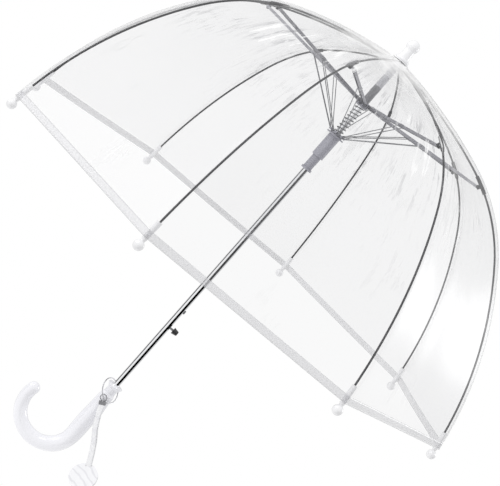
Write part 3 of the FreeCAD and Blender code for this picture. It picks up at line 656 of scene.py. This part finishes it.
def make_spring():
    """An even coil that fills the CAD spring's box."""
    low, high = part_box("main_spring")
    radius = (high[0] - low[0]) / 2 - SPRING_WIRE
    foot, head = low[2] + SPRING_WIRE, high[2] - SPRING_WIRE
    total = int(SPRING_TURNS * STEPS_A_TURN)
    points = []
    for k in range(total + 1):
        share = k / total
        angle = 2 * math.pi * SPRING_TURNS * share
        height = foot + (head - foot) * share
        points.append(Vector((radius * math.cos(angle), radius * math.sin(angle), height)))
    verts, faces = tube(points, SPRING_WIRE, 10)
    spring = new_piece("main_spring_coil", verts, faces, SPRING_STEEL)
    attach(spring, "runner")
    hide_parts("main_spring")
    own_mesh(spring)


make_spring()


# ---- materials of the CAD parts that stay --------------------------------------------------------
FINISHES = {
    "shaft_tube": CHROME, "strap_loop": LOOP_STEEL, "strap_clamp": STRAP_STEEL, "top_notch": WHITE,
    "canopy_washer": WHITE, "ferrule_cap": WHITE, "stop_sleeve": CLEAR, "grip": GRIP_WHITE,
    "grip_collar": GRIP_WHITE, "runner": GREY, "runner_sleeve": GREY, "hub": GREY, "hub_neck": DARK_GREY,
    "button_cap": BLACK, "catch_leaf": SPRING_STEEL, "strap_disc": TAG_WHITE,
}
for limb in range(1, LIMBS + 1):
    FINISHES[f"rib_upper_{limb}"] = RIB_STEEL
    FINISHES[f"rib_lower_{limb}"] = RIB_STEEL
    FINISHES[f"arm_{limb}"] = ARM_STEEL
    FINISHES[f"wire_{limb}"] = SPRING_STEEL
    FINISHES[f"rib_tip_{limb}"] = WHITE
for name, material in FINISHES.items():
    part = frame["nodes"][name]
    for material_slot in part.material_slots:
        material_slot.material = material


# ---- studio --------------------------------------------------------------------------------------
FLOOR_HEIGHT, FLOOR_RADIUS, FLOOR_SIDES = -0.6, 0.9, 96
FLOOR_GLOW = 0.12


def make_floor():
    """A pale round floor, just out of the photograph's view."""
    angles = [2 * math.pi * k / FLOOR_SIDES for k in range(FLOOR_SIDES)]
    rim = [(FLOOR_RADIUS * math.cos(a), FLOOR_RADIUS * math.sin(a), 0) for a in angles]
    material = bpy.data.materials.new("floor")
    floor = new_piece("floor", rim, [tuple(range(FLOOR_SIDES))], material, smooth=False)
    floor.location.z = FLOOR_HEIGHT
    material.use_nodes = True
    shader = material.node_tree.nodes["Principled BSDF"]
    shader.inputs["Base Color"].default_value = (0.9, 0.9, 0.9, 1)
    shader.inputs["Roughness"].default_value = 1.0
    shader.inputs["Specular IOR Level"].default_value = 0.0
    shader.inputs["Emission Color"].default_value = (1, 1, 1, 1)
    shader.inputs["Emission Strength"].default_value = FLOOR_GLOW


def make_world():
    """White to look at; soft light from above for matt surfaces; a studio with dark flags for mirrors."""
    world = bpy.data.worlds.new("studio")
    scene.world = world
    world.cycles.sampling_method = "NONE"
    world.use_nodes = True
    tree = world.node_tree
    tree.nodes.clear()
    link = tree.links.new
    way = tree.nodes.new("ShaderNodeTexCoord").outputs["Generated"]

    def toward(direction, low, high, dark, light):
        """A smooth step from dark to light as the ray turns towards the direction."""
        dot = tree.nodes.new("ShaderNodeVectorMath")
        dot.operation = "DOT_PRODUCT"
        dot.inputs[1].default_value = unit(direction)
        link(way, dot.inputs[0])
        step = tree.nodes.new("ShaderNodeMapRange")
        step.interpolation_type = "SMOOTHSTEP"
        for socket, value in (("From Min", low), ("From Max", high), ("To Min", dark), ("To Max", light)):
            step.inputs[socket].default_value = value
        link(dot.outputs["Value"], step.inputs["Value"])
        return step.outputs["Result"]

    def maths(operation, a, b):
        node = tree.nodes.new("ShaderNodeMath")
        node.operation = operation
        for value, socket in ((a, node.inputs[0]), (b, node.inputs[1])):
            if isinstance(value, (int, float)):
                socket.default_value = value
            else:
                link(value, socket)
        return node.outputs[0]

    def mix(factor, a, b):
        node = tree.nodes.new("ShaderNodeMix")
        for value, socket in ((factor, node.inputs[0]), (a, node.inputs[2]), (b, node.inputs[3])):
            if isinstance(value, (int, float)):
                socket.default_value = value
            else:
                link(value, socket)
        return node.outputs[0]

    # what matt surfaces see: brighter from above and one side
    matt = toward((0.66, 0.1, 0.75), -0.9, 0.9, 0.62, 1.02)
    # what mirrors see: dark flags below the horizon and soft boxes above it, all dimmer towards -Y
    low = toward((0, 0, -1), -0.06, 0.0, 0.0, 1.0)
    flags = maths("MAXIMUM", toward((1, 0, -0.12), 0.93, 0.965, 0.0, 1.0),
                  toward((-0.707, 0.707, -0.12), 0.66, 0.76, 0.0, 1.0))
    boxes = maths("ADD", toward((0.97, 0.2, 0.16), 0.84, 0.99, 0.0, 1.5),
                  toward((-0.75, -0.58, 0.33), 0.90, 0.99, 0.0, 0.9))
    upper = maths("ADD", boxes, toward((0, 1, 0.1), -0.9, 0.5, 0.62, 0.95))
    ground = toward((0, 1, 0), -0.9, 0.5, 0.62, 1.0)
    unflagged = maths("SUBTRACT", 1.0, maths("MULTIPLY", flags, low))
    mirror = maths("MULTIPLY", mix(low, upper, ground), unflagged)
    # plain white for the camera, and for what it sees through clear parts
    rays = tree.nodes.new("ShaderNodeLightPath").outputs
    lit = mix(rays["Is Diffuse Ray"], mirror, matt)
    seen = maths("MAXIMUM", rays["Is Camera Ray"], rays["Is Transmission Ray"])
    background = tree.nodes.new("ShaderNodeBackground")
    background.inputs["Color"].default_value = (1, 1, 1, 1)
    link(mix(seen, lit, 1.0), background.inputs["Strength"])
    output = tree.nodes.new("ShaderNodeOutputWorld")
    link(background.outputs[0], output.inputs["Surface"])


def make_light(name, place, size, power):
    data = bpy.data.lights.new(name, "AREA")
    data.shape = "DISK"
    data.size = size
    data.energy = power
    light = bpy.data.objects.new(name, data)
    light.location = place
    aim = Vector((0, 0, 0.3)) - Vector(place)
    light.rotation_euler = aim.to_track_quat("-Z", "Y").to_euler()
    scene.collection.objects.link(light)


scene.view_settings.view_transform = "Standard"
make_floor()
make_world()
make_light("key", (1.5, 1.0, 1.9), 0.9, 12)
make_light("side", (-1.8, -0.9, 1.0), 0.6, 6)
